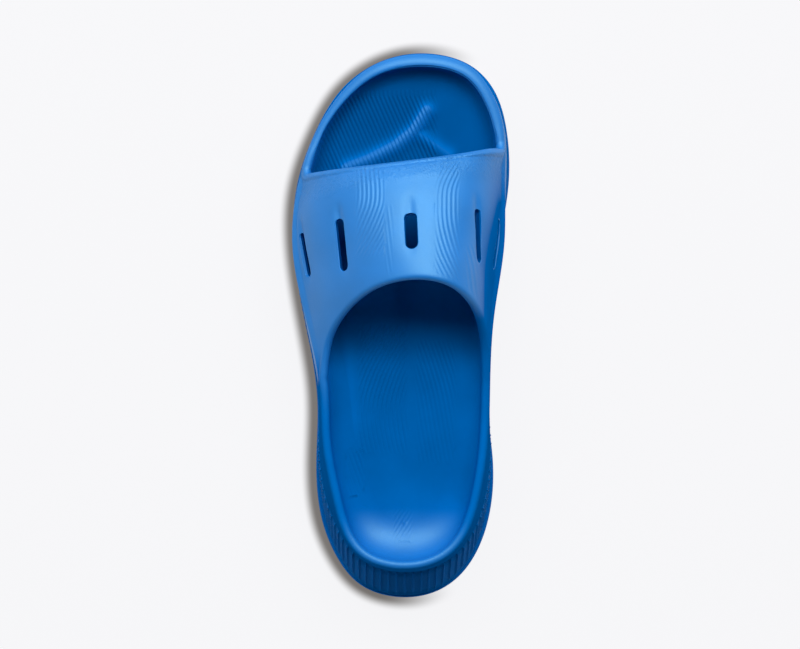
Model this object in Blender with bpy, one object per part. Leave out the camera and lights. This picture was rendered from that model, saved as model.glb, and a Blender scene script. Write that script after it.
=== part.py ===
"""Left foot's sport slide sandal in moulded foam: upper with strap and footbed, midsole and outsole.

Metres. +Y is the toe, +X the inner side of the foot (medial), +Z up. The floor is z = 0 and the
middle of the outline is x = y = 0.
"""
import bpy
import bmesh
import numpy as np
from mathutils import Matrix, Vector

# Driving sizes
LENGTH = 0.300
BALL_WIDTH = 0.1196
HEEL_STACK = 0.041
FOOTBED_THICKNESS = 0.0065
OUTSOLE_THICKNESS = 0.0075
TOE_SPRING = 0.017
HEEL_BEVEL = 0.009
ARCH_RELIEF = 0.003
RIM_RISE = 0.018
COVE_WIDTH = 0.014
WALL = 0.005
COLLAR_HEIGHT = 0.100
FRONT_HEIGHT = 0.076
GAP = 0.0003

# Sole's edge
LIP_WIDTH = 0.0028
LIP_DROP = 0.0030
TREAD_INSET = 0.0042
EDGE_ROUND = 0.0012
RIB_PITCH = 0.0046
RIB_DEPTH = 0.0010
RIBS_END_LATERAL = 0.66
RIBS_END_MEDIAL = 0.36
RIBS_FADE = 0.05
PLAIN_STEP = 0.0060
LUG_PITCH = 0.0130
GROOVE_WIDTH = 0.0036
GROOVE_DEPTH = 0.0022
GROOVE_SLOPE = 0.0008

# Footbed's hollow
BED_DISH = 0.0022
DISH_WIDTH = 0.055
ARCH_SUPPORT = 0.0040

# Strap's slots
SLOT_WIDTH = 0.0060
CUTTER_REACH = 0.0075

# Shoulder that the strap leaves on the rim, and how far its front edge stands behind its roots
SHOULDER_WIDTH = 0.0020
SHOULDER_RISE = 0.0024
FRONT_SETBACK = 0.0055

# Rim at the toe: how much thinner it is on the lateral side, and how far its crown leans inward
RIM_THINNING = 0.0016
TOE_LEAN = 0.7

# Where the strap starts and ends on the rim, as shares of the length from the heel
COLLAR_ROOT_LATERAL = 0.405
COLLAR_ROOT_MEDIAL = 0.400
FRONT_ROOT_LATERAL = 0.787
FRONT_ROOT_MEDIAL = 0.833
COLLAR_TOP = 0.592

# Counts of faces
HEEL_STEPS = 15
STRAP_STEPS = 20
TOE_STEPS = 15
ARCH_STEPS = 36
ROLL_STEPS = 4
BED_COLUMNS = 8

# Loops seen from above, in turns of degrees from the heel tip (0) to the toe tip (180). The widths
# are shares of the ball width from the middle line.
# turn, outline lateral, outline medial, crest lateral, crest medial
LOOPS = (
    (0, 0.028, 0.028, 0.037, 0.037),
    (15, -0.153, 0.202, -0.124, 0.197),
    (30, -0.276, 0.331, -0.219, 0.303),
    (45, -0.358, 0.409, -0.272, 0.360),
    (60, -0.381, 0.428, -0.313, 0.392),
    (75, -0.377, 0.393, -0.328, 0.401),
    (90, -0.424, 0.390, -0.394, 0.420),
    (105, -0.474, 0.441, -0.449, 0.462),
    (120, -0.469, 0.497, -0.426, 0.466),
    (135, -0.383, 0.494, -0.346, 0.463),
    (150, -0.264, 0.436, -0.224, 0.404),
    (165, -0.092, 0.306, -0.079, 0.296),
    (180, 0.108, 0.108, 0.110, 0.110),
)
CREST_HEEL = -0.432
CREST_TOE = 0.485

# Sections along the foot, each at its share of the length from the heel.
# stack: footbed over the ground face, share of HEEL_STACK
# rim: crest over the footbed, share of RIM_RISE
# cove: hollow between rim and footbed, share of COVE_WIDTH
# foot: where the upper's lower edge lies, from the rim (0) to the outline (1)
# ledge: where the midsole's upper edge lies, from the upper's lower edge (0) to the outline (1)
# lip: bare lip outside the midsole, share of LIP_WIDTH
# arch: support of the medial edge, share of ARCH_SUPPORT
# along, stack, rim, cove, foot, ledge, lip, arch
SECTIONS = (
    (0.00, 0.78, 1.00, 1.55, 0.18, 0.04, 0.50, 0.00),
    (0.10, 0.95, 0.91, 1.40, 0.17, 0.05, 0.75, 0.00),
    (0.20, 1.00, 0.74, 1.10, 0.36, 0.10, 1.00, 0.10),
    (0.35, 0.98, 0.66, 0.80, 0.36, 0.18, 0.90, 0.80),
    (0.50, 0.90, 0.68, 0.60, 0.42, 0.30, 0.80, 1.00),
    (0.65, 0.79, 0.66, 0.50, 0.35, 0.45, 0.70, 0.30),
    (0.80, 0.71, 0.62, 0.50, 0.25, 0.65, 0.45, 0.00),
    (0.90, 0.62, 0.60, 0.58, 0.18, 0.75, 0.35, 0.00),
    (1.00, 0.51, 0.60, 0.62, 0.15, 0.80, 0.30, 0.00),
)
STACK, RIM, COVE, FOOT, LEDGE, LIP, ARCH = range(1, 8)

# Strap's profile round the arch, in degrees from the lateral root (0) to the medial root (180).
# The front edge and the collar edge each have their own: across is a share of the way between the
# roots, height a share of the rise, lead a share of how far the collar's top stands in front of its
# roots.
# turn, front across, front height, collar across, collar height, collar lead
STRAP = (
    (0, 0.000, 0.000, 0.000, 0.000, 0.000),
    (15, 0.008, 0.080, 0.009, 0.035, 0.150),
    (30, 0.028, 0.170, 0.030, 0.115, 0.320),
    (45, 0.068, 0.340, 0.072, 0.240, 0.490),
    (60, 0.145, 0.570, 0.150, 0.430, 0.670),
    (75, 0.280, 0.820, 0.278, 0.680, 0.850),
    (90, 0.444, 0.970, 0.442, 0.900, 0.965),
    (105, 0.626, 1.000, 0.625, 1.000, 1.000),
    (120, 0.794, 0.890, 0.795, 0.910, 0.940),
    (135, 0.911, 0.630, 0.912, 0.670, 0.790),
    (150, 0.968, 0.330, 0.972, 0.380, 0.590),
    (165, 0.994, 0.120, 0.996, 0.130, 0.320),
    (180, 1.000, 0.000, 1.000, 0.000, 0.000),
)
FRONT_ACROSS, FRONT_RISE, COLLAR_ACROSS, COLLAR_RISE, COLLAR_LEAD = range(1, 6)

# Slots of the strap: from collar edge (0) to front edge (1), and round the arch in degrees from the
# lateral root. The width is a share of SLOT_WIDTH. Upright is how far the cut turns from square to
# the strap (0) to straight down (1).
# back row, front row, back angle, front angle, width, upright
SLOTS = (
    (0.38, 0.62, 29, 28, 0.90, 0.10),
    (0.21, 0.55, 66, 68.5, 0.95, 0.40),
    (0.20, 0.465, 101, 100.5, 1.05, 0.50),
    (0.25, 0.525, 141, 133.5, 0.85, 0.25),
    (0.38, 0.62, 158, 156, 0.90, 0.10),
)

# Strap's shape as shares: how the top falls from collar to front, where the shoulder is whole, and
# how the setback grows toward the front and up the edge. ROOT_BLEND is the part of the arch, in
# degrees, over which the strap's wall turns into the rim's.
TOP_POWER = 1.15
SHOULDER_START = 0.45
SETBACK_POWER = 4
SETBACK_HEIGHT = 0.30
ROOT_BLEND = 45

# Where the toe's rim begins to change, as shares of the length, and the turn over which the thinning
# ends before the toe tip
RIM_CHANGE = 0.79
RIM_FADE = 0.08
TIP_TURN = 45

# Base
TOE_BREAK = 0.70
HEEL_BREAK = 0.17
ARCH_START = 0.33
ARCH_END = 0.57
SPRING_POWER = 1.9
BEVEL_POWER = 1.8


def closed_spline(values):
    """Return a smooth closed curve through values that are evenly spaced over 360 degrees."""
    values = np.array(values)
    count = len(values)
    step = 360 / count
    eye = np.eye(count)
    matrix = 4 * eye + np.roll(eye, 1, axis=1) + np.roll(eye, -1, axis=1)
    second = (np.roll(values, -1) - 2 * values + np.roll(values, 1)) * 6 / step ** 2
    bends = np.linalg.solve(matrix, second)

    def at(turn):
        place = (np.asarray(turn, float) % 360) / step
        low = np.floor(place).astype(int) % count
        high = (low + 1) % count
        right = place - np.floor(place)
        left = 1 - right
        bow = (left ** 3 - left) * bends[low] + (right ** 3 - right) * bends[high]
        return left * values[low] + right * values[high] + bow * step ** 2 / 6

    return at


def open_spline(places, values):
    """Return a smooth curve through values at rising places, straight at both ends."""
    places = np.array(places, float)
    values = np.array(values, float)
    count = len(places)
    matrix = np.eye(count)
    second = np.zeros(count)
    for i in range(1, count - 1):
        before = places[i] - places[i - 1]
        after = places[i + 1] - places[i]
        matrix[i, i - 1:i + 2] = (before, 2 * (before + after), after)
        second[i] = 6 * ((values[i + 1] - values[i]) / after - (values[i] - values[i - 1]) / before)
    bends = np.linalg.solve(matrix, second)

    def at(place):
        place = np.clip(place, places[0], places[-1])
        low = np.clip(np.searchsorted(places, place) - 1, 0, count - 2)
        width = places[low + 1] - places[low]
        right = (place - places[low]) / width
        left = 1 - right
        bow = (left ** 3 - left) * bends[low] + (right ** 3 - right) * bends[low + 1]
        return left * values[low] + right * values[low + 1] + bow * width ** 2 / 6

    return at


def loop_curve(lateral, medial):
    """Return the closed curve of one pair of columns in LOOPS."""
    up = [row[lateral] for row in LOOPS]
    down = [row[medial] for row in LOOPS[-2:0:-1]]
    return closed_spline(up + down)


OUTLINE_WIDTH = loop_curve(1, 2)
CREST_WIDTH = loop_curve(3, 4)
FINE_TURNS = np.linspace(0, 360, 721)
OUTLINE_REACH = OUTLINE_WIDTH(FINE_TURNS)
MIDDLE = (OUTLINE_REACH.min() + OUTLINE_REACH.max()) / 2
WIDTH_UNIT = BALL_WIDTH / (OUTLINE_REACH.max() - OUTLINE_REACH.min())
ALONG = [row[0] for row in SECTIONS]
COLUMNS = [None] + [open_spline(ALONG, [row[i] for row in SECTIONS]) for i in range(1, 8)]
AROUND = [row[0] for row in STRAP]
PROFILES = [None] + [open_spline(AROUND, [row[i] for row in STRAP]) for i in range(1, 6)]


def smooth(value):
    """Ease a share from 0 to 1 with level ends."""
    value = np.clip(value, 0, 1)
    return value * value * (3 - 2 * value)


def unit(vectors):
    """Scale each vector to length one."""
    return vectors / np.linalg.norm(vectors, axis=-1, keepdims=True)


def outline_loop(turns):
    """Plan points of the shoe's outline."""
    x = (OUTLINE_WIDTH(turns) - MIDDLE) * WIDTH_UNIT
    y = -np.cos(np.radians(turns)) * LENGTH / 2
    return np.stack([x, y], axis=-1)


def crest_loop(turns):
    """Plan points of the middle of the rim."""
    x = (CREST_WIDTH(turns) - MIDDLE) * WIDTH_UNIT
    mid = (CREST_TOE + CREST_HEEL) / 2
    half = (CREST_TOE - CREST_HEEL) / 2
    y = (mid - half * np.cos(np.radians(turns))) * LENGTH
    return np.stack([x, y], axis=-1)


def outward(loop, turns):
    """Plan directions that point out of a loop."""
    step = 0.5
    along = loop(turns + step) - loop(turns - step)
    return unit(np.stack([-along[:, 1], along[:, 0]], axis=-1))


def share_along(y):
    """Share of the length from the heel."""
    return np.clip(y / LENGTH + 0.5, 0, 1)


def section(column, y):
    """A column of SECTIONS at a place along the foot."""
    return COLUMNS[column](share_along(y))


def base_height(y):
    """Ground face of the sole: flat under heel and ball, raised at toe, heel tip and arch."""
    along = share_along(y)
    toe = np.clip((along - TOE_BREAK) / (1 - TOE_BREAK), 0, 1) ** SPRING_POWER
    heel = np.clip((HEEL_BREAK - along) / HEEL_BREAK, 0, 1) ** BEVEL_POWER
    arch = np.clip((along - ARCH_START) / (ARCH_END - ARCH_START), 0, 1)
    relief = np.sin(np.pi * arch) ** 2
    return TOE_SPRING * toe + HEEL_BEVEL * heel + ARCH_RELIEF * relief


def footbed_height(y):
    """Edge of the footbed, before its dish."""
    return base_height(y) + section(STACK, y) * HEEL_STACK


def seam_height(y):
    """Face between midsole and upper."""
    return footbed_height(y) - FOOTBED_THICKNESS


def joint_height(y):
    """Face between outsole and midsole."""
    return base_height(y) + OUTSOLE_THICKNESS


def crest_height(y):
    """Top of the rim."""
    return footbed_height(y) + section(RIM, y) * RIM_RISE


def raised(plan, height):
    """Put plan points at their heights."""
    return np.column_stack([plan, np.broadcast_to(height, len(plan))])


def turn_of(along, loop):
    """Turn of a loop at a share of the length."""
    low, high = loop(np.array([0.0, 180.0]))[:, 1]
    share = ((along - 0.5) * LENGTH - low) / (high - low)
    return np.degrees(np.arccos(1 - 2 * share))


class Skin:
    """Points and faces that grow into one closed mesh."""

    def __init__(self):
        self.points = []
        self.faces = []

    def add(self, points):
        """Add an array of points and return their numbers in the same layout."""
        points = np.asarray(points)
        flat = points.reshape(-1, 3)
        start = len(self.points)
        self.points.extend(map(tuple, flat))
        return np.arange(start, start + len(flat)).reshape(points.shape[:-1])

    def face(self, *corners):
        """Add a face, without corners that repeat."""
        kept = [int(c) for i, c in enumerate(corners) if c != corners[i - 1]]
        if len(kept) > 2:
            self.faces.append(kept)

    def grid(self, numbers):
        """Fill a table of point numbers with four-sided faces."""
        for row, after in zip(numbers[:-1], numbers[1:]):
            for i in range(len(row) - 1):
                self.face(row[i], row[i + 1], after[i + 1], after[i])

    def ring(self, low, high):
        """Fill the band between two closed rows of points."""
        self.grid(np.stack([np.append(low, low[0]), np.append(high, high[0])]))

    def ladder(self, ring, inner=None):
        """Close a ring with rungs from each side to the other, over rows of inner points."""
        half = len(ring) // 2
        rows = [[ring[0]], [ring[half]]]
        middle = []
        for i in range(1, half):
            inside = [] if inner is None else list(inner[i - 1])
            middle.append([ring[i]] + inside + [ring[-i]])
        self.grid(np.array(middle))
        for tip, row in ((rows[0][0], middle[0]), (rows[1][0], middle[-1])):
            for a, b in zip(row[:-1], row[1:]):
                self.face(tip, a, b)

    def build(self, name, material):
        """Make the object."""
        mesh = bpy.data.meshes.new(name)
        work = bmesh.new()
        corners = [work.verts.new(point) for point in self.points]
        for face in self.faces:
            work.faces.new([corners[i] for i in face])
        bmesh.ops.recalc_face_normals(work, faces=work.faces)
        work.to_mesh(mesh)
        work.free()
        mesh.materials.append(material)
        mesh.shade_smooth()
        mesh.set_sharp_from_angle(angle=np.radians(50))
        item = bpy.data.objects.new(name, mesh)
        bpy.context.scene.collection.objects.link(item)
        return item


def rung_points(skin, ring, columns, height):
    """Add the inner points of a ladder: height gives z from y, the share across and its rung."""
    points = np.array(skin.points)
    half = len(ring) // 2
    rows = []
    for i in range(1, half):
        left = points[ring[i]]
        right = points[ring[-i]]
        row = left + (right - left) * columns[:, None]
        row[:, 2] = height(row, columns, i)
        rows.append(row)
    return skin.add(np.array(rows))


def upper_turns():
    """Turns of the upper's stations, once round from the heel tip, with equal counts per side."""
    sides = []
    for collar, front in (
        (COLLAR_ROOT_LATERAL, FRONT_ROOT_LATERAL),
        (COLLAR_ROOT_MEDIAL, FRONT_ROOT_MEDIAL),
    ):
        first = turn_of(collar, crest_loop)
        last = turn_of(front, crest_loop)
        heel = np.linspace(0, first, HEEL_STEPS + 1)
        strap = np.linspace(first, last, STRAP_STEPS + 1)
        toe = np.linspace(last, 180, TOE_STEPS + 1)
        sides.append(np.concatenate([heel, strap[1:], toe[1:]]))
    lateral, medial = sides
    return np.concatenate([lateral, 360 - medial[-2:0:-1]])


def toe_share(y):
    """Share of the toe's own rim, from none at the strap to whole round the toe."""
    return smooth((share_along(y) - RIM_CHANGE) / RIM_FADE)


def rim_edges(turns):
    """Outer and inner edge of the rim at its springing, below the roll."""
    plan = crest_loop(turns)
    out = outward(crest_loop, turns)
    height = crest_height(plan[:, 1]) - WALL / 2
    thinning = RIM_THINNING * toe_share(plan[:, 1]) * smooth((180 - turns) / TIP_TURN)
    inset = (WALL / 2 - thinning)[:, None]
    return raised(plan + out * WALL / 2, height), raised(plan - out * inset, height)


def upper_foot(turns, outer):
    """Lower edge of the upper, on the midsole."""
    share = section(FOOT, outer[:, 1])[:, None]
    plan = outer[:, :2] + (outline_loop(turns) - outer[:, :2]) * share
    return raised(plan, seam_height(plan[:, 1]))


def collar_lead(outer, count):
    """How far the collar's top stands in front of its roots."""
    roots = (outer[HEEL_STEPS][1] + outer[count - HEEL_STEPS][1]) / 2
    return (COLLAR_TOP - 0.5) * LENGTH - roots


def strap_skin(outer):
    """Outer face of the strap: a row for each station from collar to front, across the arch."""
    count = len(outer)
    turns = np.linspace(0, 180, ARCH_STEPS + 1)
    profile = [None] + [curve(turns) for curve in PROFILES[1:]]
    rows = []
    for step in range(STRAP_STEPS + 1):
        station = HEEL_STEPS + step
        share = step / STRAP_STEPS
        left = outer[station]
        right = outer[count - station]
        across = profile[COLLAR_ACROSS] * (1 - share) + profile[FRONT_ACROSS] * share
        height = profile[COLLAR_RISE] * (1 - share) + profile[FRONT_RISE] * share
        top = COLLAR_HEIGHT + (FRONT_HEIGHT - COLLAR_HEIGHT) * share ** TOP_POWER
        lift = (top - (left[2] + right[2]) / 2) * height
        row = left + (right - left) * across[:, None]
        shoulder = SHOULDER_WIDTH * smooth(share / SHOULDER_START) * smooth(lift / SHOULDER_RISE)
        rounded = 1 - (1 - np.clip(height / SETBACK_HEIGHT, 0, 1)) ** 3
        setback = FRONT_SETBACK * share ** SETBACK_POWER * rounded
        row[:, 0] += shoulder * (1 - 2 * across)
        row[:, 1] += collar_lead(outer, count) * (1 - share) * profile[COLLAR_LEAD] - setback
        row[:, 2] += lift
        rows.append(row)
    return np.array(rows)


def strap_normals(rows, outer, inner):
    """Directions out of the strap; toward its roots they turn into those of the rim."""
    along = np.gradient(rows, axis=0)
    across = np.gradient(rows, axis=1)
    normals = unit(np.cross(across, along))
    count = len(outer)
    turns = np.linspace(0, 180, ARCH_STEPS + 1)
    at_left = smooth(1 - turns / ROOT_BLEND)[:, None]
    at_right = smooth(1 - (180 - turns) / ROOT_BLEND)[:, None]
    for step in range(STRAP_STEPS + 1):
        left = HEEL_STEPS + step
        right = count - left
        mixed = normals[step] * (1 - at_left - at_right)
        mixed += at_left * unit(outer[left] - inner[left])
        mixed += at_right * unit(outer[right] - inner[right])
        normals[step] = unit(mixed)
    return normals


def edge_bulge(rows, normals, step):
    """Directions off the collar edge (0) or the front edge (-1) of the strap, square to the edge."""
    along = np.gradient(rows[step], axis=0)
    bulge = unit(np.cross(normals[step], along))
    return -bulge if step == 0 else bulge


def roll(outer, inner, bulge):
    """Points of the rounded edge between an outer and an inner row, without the rows."""
    angles = np.linspace(0, np.pi, ROLL_STEPS + 1)[1:-1]
    middle = (outer + inner) / 2
    half = (outer - inner) / 2
    reach = np.linalg.norm(half, axis=1, keepdims=True)
    return np.array([middle + half * np.cos(a) + bulge * reach * np.sin(a) for a in angles])


def near(points, corner):
    """Weight that fades with the distance from a corner."""
    distance = np.linalg.norm(points - corner, axis=1)
    return np.exp(-(distance / (1.6 * WALL)) ** 2)[:, None]


def slot_cutter(rows, normals, slot, number):
    """Stadium prism that stands on the strap."""
    def at(grid, row, angle):
        place = row * STRAP_STEPS
        column = angle / 180 * ARCH_STEPS
        r = min(int(place), STRAP_STEPS - 1)
        c = min(int(column), ARCH_STEPS - 1)
        u = place - r
        v = column - c
        low = grid[r, c] * (1 - v) + grid[r, c + 1] * v
        high = grid[r + 1, c] * (1 - v) + grid[r + 1, c + 1] * v
        return low * (1 - u) + high * u

    back = Vector(at(rows, slot[0], slot[2]))
    front = Vector(at(rows, slot[1], slot[3]))
    normal = Vector(at(normals, (slot[0] + slot[1]) / 2, (slot[2] + slot[3]) / 2)).normalized()
    axis = (front - back).normalized()
    side = normal.cross(axis).normalized()
    normal = axis.cross(side)
    width = SLOT_WIDTH * slot[4]
    straight = ((front - back).length - width) / 2
    lean = slot[5] * side.z / normal.z
    steps = 6
    work = bmesh.new()
    corners = []
    for end, start in ((1, -90), (-1, 90)):
        for k in range(steps + 1):
            angle = np.radians(start + 180 * k / steps)
            corners.append((end * straight + np.cos(angle) * width / 2, np.sin(angle) * width / 2))
    foot = lean * CUTTER_REACH
    face = work.faces.new([work.verts.new((x, y - foot, -CUTTER_REACH)) for x, y in corners])
    lifted = bmesh.ops.extrude_face_region(work, geom=[face])["geom"]
    tops = [v for v in lifted if isinstance(v, bmesh.types.BMVert)]
    bmesh.ops.translate(work, verts=tops, vec=(0, 2 * foot, 2 * CUTTER_REACH))
    bmesh.ops.recalc_face_normals(work, faces=work.faces)
    mesh = bpy.data.meshes.new("slot_cutter_%d" % number)
    work.to_mesh(mesh)
    work.free()
    cutter = bpy.data.objects.new(mesh.name, mesh)
    turn = Matrix((axis, side, normal)).transposed().to_4x4()
    cutter.matrix_world = Matrix.Translation((back + front) / 2) @ turn
    cutter.hide_render = True
    cutter.display_type = 'WIRE'
    bpy.context.scene.collection.objects.link(cutter)
    return cutter


def make_upper(material):
    """Strap, rim and footbed as one hollow moulding."""
    turns = upper_turns()
    count = len(turns)
    outer, inner = rim_edges(turns)
    foot = upper_foot(turns, outer)
    skin = Skin()

    # Outer wall, from the seam up to the rim
    walls = [skin.add(foot)]
    for share in (0.3, 0.65):
        walls.append(skin.add(foot + (outer - foot) * share))
    walls.append(skin.add(outer))
    for low, high in zip(walls[:-1], walls[1:]):
        skin.ring(low, high)
    skin.ladder(walls[0])

    # Inner wall, a cove from the rim down to the footbed
    out = outward(crest_loop, turns)
    width = section(COVE, inner[:, 1])[:, None] * COVE_WIDTH
    edge_plan = inner[:, :2] - out * width
    medial = turns > 180
    support = np.where(medial, section(ARCH, edge_plan[:, 1]) * ARCH_SUPPORT, 0)
    floor = footbed_height(edge_plan[:, 1]) + support
    coves = [skin.add(inner)]
    for angle in np.radians((30, 55, 75, 90)):
        plan = inner[:, :2] + (edge_plan - inner[:, :2]) * (1 - np.cos(angle))
        coves.append(skin.add(raised(plan, inner[:, 2] + (floor - inner[:, 2]) * np.sin(angle))))
    for low, high in zip(coves[:-1], coves[1:]):
        skin.ring(low, high)
    columns = np.linspace(0, 1, BED_COLUMNS + 1)[1:-1]

    bed_edge = raised(edge_plan, floor)

    def bed(row, shares, station):
        left = bed_edge[station]
        right = bed_edge[-station]
        dish = BED_DISH * smooth(abs(right[0] - left[0]) / DISH_WIDTH)
        return left[2] + (right[2] - left[2]) * shares - dish * (4 * shares * (1 - shares)) ** 2

    skin.ladder(coves[-1], rung_points(skin, coves[-1], columns, bed))

    # Strap
    rows = strap_skin(outer)
    normals = strap_normals(rows, outer, inner)
    under = rows - normals * WALL
    first, last = HEEL_STEPS, HEEL_STEPS + STRAP_STEPS
    left = np.arange(first, last + 1)
    for grid, edge in ((rows, walls[-1]), (under, coves[0])):
        numbers = np.empty(grid.shape[:2], int)
        numbers[:, 1:-1] = skin.add(grid[:, 1:-1])
        numbers[:, 0] = edge[left]
        numbers[:, -1] = edge[count - left]
        skin.grid(numbers)
        if edge is walls[-1]:
            top = numbers
        else:
            below = numbers

    # Rounded edges: rim, collar and front
    bulges = {0: edge_bulge(rows, normals, 0), -1: edge_bulge(rows, normals, -1)}
    rises = np.tile((0.0, 0.0, 1.0), (count, 1))
    rises[:, :2] -= out * (TOE_LEAN * toe_share(outer[:, 1]))[:, None]
    for step, station in ((0, first), (-1, last)):
        for column, corner in ((0, station), (-1, count - station)):
            lean = bulges[step][column].copy()
            rises += near(outer, outer[corner]) * lean
            bulges[step] += near(rows[step], outer[corner]) * np.array((0, 0, 1))
    rises = unit(rises)
    crown = skin.add(roll(outer, inner, rises))
    tiers = [walls[-1]] + list(crown) + [coves[0]]
    open_cells = [i for i in range(count) if not (first <= i < last or count - last <= i < count - first)]
    for low, high in zip(tiers[:-1], tiers[1:]):
        for i in open_cells:
            j = (i + 1) % count
            skin.face(low[i], low[j], high[j], high[i])
    for step, station in ((0, first), (-1, last)):
        bend = unit(bulges[step])
        edge = roll(rows[step], under[step], bend)
        tiers = [top[step]]
        for level, points in zip(crown, edge):
            numbers = np.empty(len(points), int)
            numbers[1:-1] = skin.add(points[1:-1])
            numbers[0] = level[station]
            numbers[-1] = level[count - station]
            tiers.append(numbers)
        tiers.append(below[step])
        skin.grid(np.array(tiers))

    upper = skin.build("upper", material)
    for number, slot in enumerate(SLOTS):
        cut = upper.modifiers.new("slot_%d" % number, 'BOOLEAN')
        cut.operation = 'DIFFERENCE'
        cut.solver = 'EXACT'
        cut.object = slot_cutter(rows, normals, slot, number)
    return upper


def midsole_turns():
    """Turns of half the midsole: three to a rib as far as the ribs go, then wider apart."""
    fine = np.linspace(0, 180, 721)
    path = outline_loop(fine)
    lengths = np.concatenate([[0], np.cumsum(np.linalg.norm(np.diff(path, axis=0), axis=1))])
    ribbed = np.interp(turn_of(RIBS_END_LATERAL, outline_loop), fine, lengths)
    ribs = int(ribbed / RIB_PITCH)
    places = np.arange(ribs * 3 + 1) * RIB_PITCH / 3
    plain = int((lengths[-1] - places[-1]) / PLAIN_STEP)
    places = np.concatenate([places, np.linspace(places[-1], lengths[-1], plain + 1)[1:]])
    return np.interp(places, lengths, fine), ribs * 3


def make_midsole(material):
    """Lower moulding with its ribbed wall, step and toe bumper."""
    half, ribbed = midsole_turns()
    turns = np.concatenate([half, 360 - half[-2:0:-1]])
    count = len(turns)
    outline = outline_loop(turns)
    out = outward(outline_loop, turns)
    y = outline[:, 1]
    lip = section(LIP, y)[:, None] * LIP_WIDTH
    outer, _ = rim_edges(turns)
    foot = upper_foot(turns, outer)
    ledge = section(LEDGE, foot[:, 1])[:, None]
    top_plan = foot[:, :2] + (outline - foot[:, :2]) * ledge
    low_plan = outline - out * lip

    # One groove in three stations, fading out before the toe and under the arch
    order = np.minimum(np.arange(count), count - np.arange(count))
    groove = (order % 3 == 2) & (order < ribbed)
    end = np.where(turns > 180, RIBS_END_MEDIAL, RIBS_END_LATERAL)
    fade = smooth((end - share_along(y)) / RIBS_FADE)
    depth = (groove * fade * RIB_DEPTH)[:, None]

    bottom = joint_height(low_plan[:, 1]) + GAP
    top = seam_height(top_plan[:, 1]) - GAP
    wall_top = top_plan - out * depth
    rings = (
        raised(low_plan - out * (EDGE_ROUND + depth), bottom),
        raised(low_plan - out * depth, bottom + EDGE_ROUND),
        raised(wall_top, top - EDGE_ROUND),
        raised(top_plan - out * (EDGE_ROUND + depth * 0.5), top),
    )
    skin = Skin()
    numbers = [skin.add(ring) for ring in rings]
    for low, high in zip(numbers[:-1], numbers[1:]):
        skin.ring(low, high)
    skin.ladder(numbers[0])
    skin.ladder(numbers[-1])
    return skin.build("midsole", material)


def tread_loop(turns):
    """Edge of the tread, inside the outline."""
    return outline_loop(turns) - outward(outline_loop, turns) * TREAD_INSET


def outsole_turns():
    """Turns of half the outsole: the two edges and two slopes of each groove, and both ends."""
    low, high = tread_loop(np.array([0.0, 180.0]))[:, 1]
    edge = GROOVE_WIDTH / 2
    grooves = int((high - low - LUG_PITCH) / LUG_PITCH)
    start = (low + high - (grooves - 1) * LUG_PITCH) / 2
    places = []
    deep = []
    for k in range(grooves):
        middle = start + k * LUG_PITCH
        places += [middle - edge, middle - edge + GROOVE_SLOPE, middle + edge - GROOVE_SLOPE, middle + edge]
        deep += [False, True, True, False]
    shares = (np.array(places) - low) / (high - low)
    turns = np.degrees(np.arccos(1 - 2 * shares))
    tip = turns[0] / 3
    ends = np.array([tip, 2 * tip])
    half = np.concatenate([[0], ends, turns, 180 - ends[::-1] * (180 - turns[-1]) / turns[0], [180]])
    return half, [False] * 3 + deep + [False] * 3


def make_outsole(material):
    """Ground layer with its lip and lugs."""
    half, deep = outsole_turns()
    turns = np.concatenate([half, 360 - half[-2:0:-1]])
    outline = outline_loop(turns)
    out = outward(outline_loop, turns)
    lip = section(LIP, outline[:, 1])[:, None] * LIP_WIDTH
    tread = tread_loop(turns)
    top_plan = outline - out * lip * 0.5
    widest = joint_height(outline[:, 1]) - LIP_DROP
    rings = (
        raised(tread, base_height(tread[:, 1])),
        raised(outline - out * TREAD_INSET * 0.25, (base_height(outline[:, 1]) + widest) / 2),
        raised(outline, widest),
        raised(outline - out * lip * 0.15, widest + LIP_DROP * 0.6),
        raised(top_plan, joint_height(top_plan[:, 1])),
    )
    skin = Skin()
    numbers = [skin.add(ring) for ring in rings]
    for low, high in zip(numbers[:-1], numbers[1:]):
        skin.ring(low, high)
    skin.ladder(numbers[-1])

    def ground(row, shares, station):
        return base_height(row[:, 1]) + (GROOVE_DEPTH if deep[station] else 0)

    columns = np.array((0.08, 0.92))
    skin.ladder(numbers[0], rung_points(skin, numbers[0], columns, ground))
    return skin.build("outsole", material)


def foam(name, colour, roughness):
    """Matt foam in one colour."""
    material = bpy.data.materials.new(name)
    shader = material.node_tree.nodes["Principled BSDF"] if material.use_nodes else None
    if shader is None:
        material.use_nodes = True
        shader = material.node_tree.nodes["Principled BSDF"]
    shader.inputs["Base Color"].default_value = (*colour, 1)
    shader.inputs["Roughness"].default_value = roughness
    shader.inputs["Metallic"].default_value = 0.0
    return material


def clear_scene():
    """Remove what the scene starts with."""
    for item in list(bpy.data.objects):
        bpy.data.objects.remove(item, do_unlink=True)


clear_scene()
make_upper(foam("upper_foam", (0.012, 0.10, 0.55), 0.5))
make_midsole(foam("midsole_foam", (0.010, 0.08, 0.48), 0.55))
make_outsole(foam("outsole_foam", (0.010, 0.08, 0.45), 0.6))
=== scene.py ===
import bmesh
import bpy
import numpy as np
from mathutils import Matrix, Vector


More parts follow.
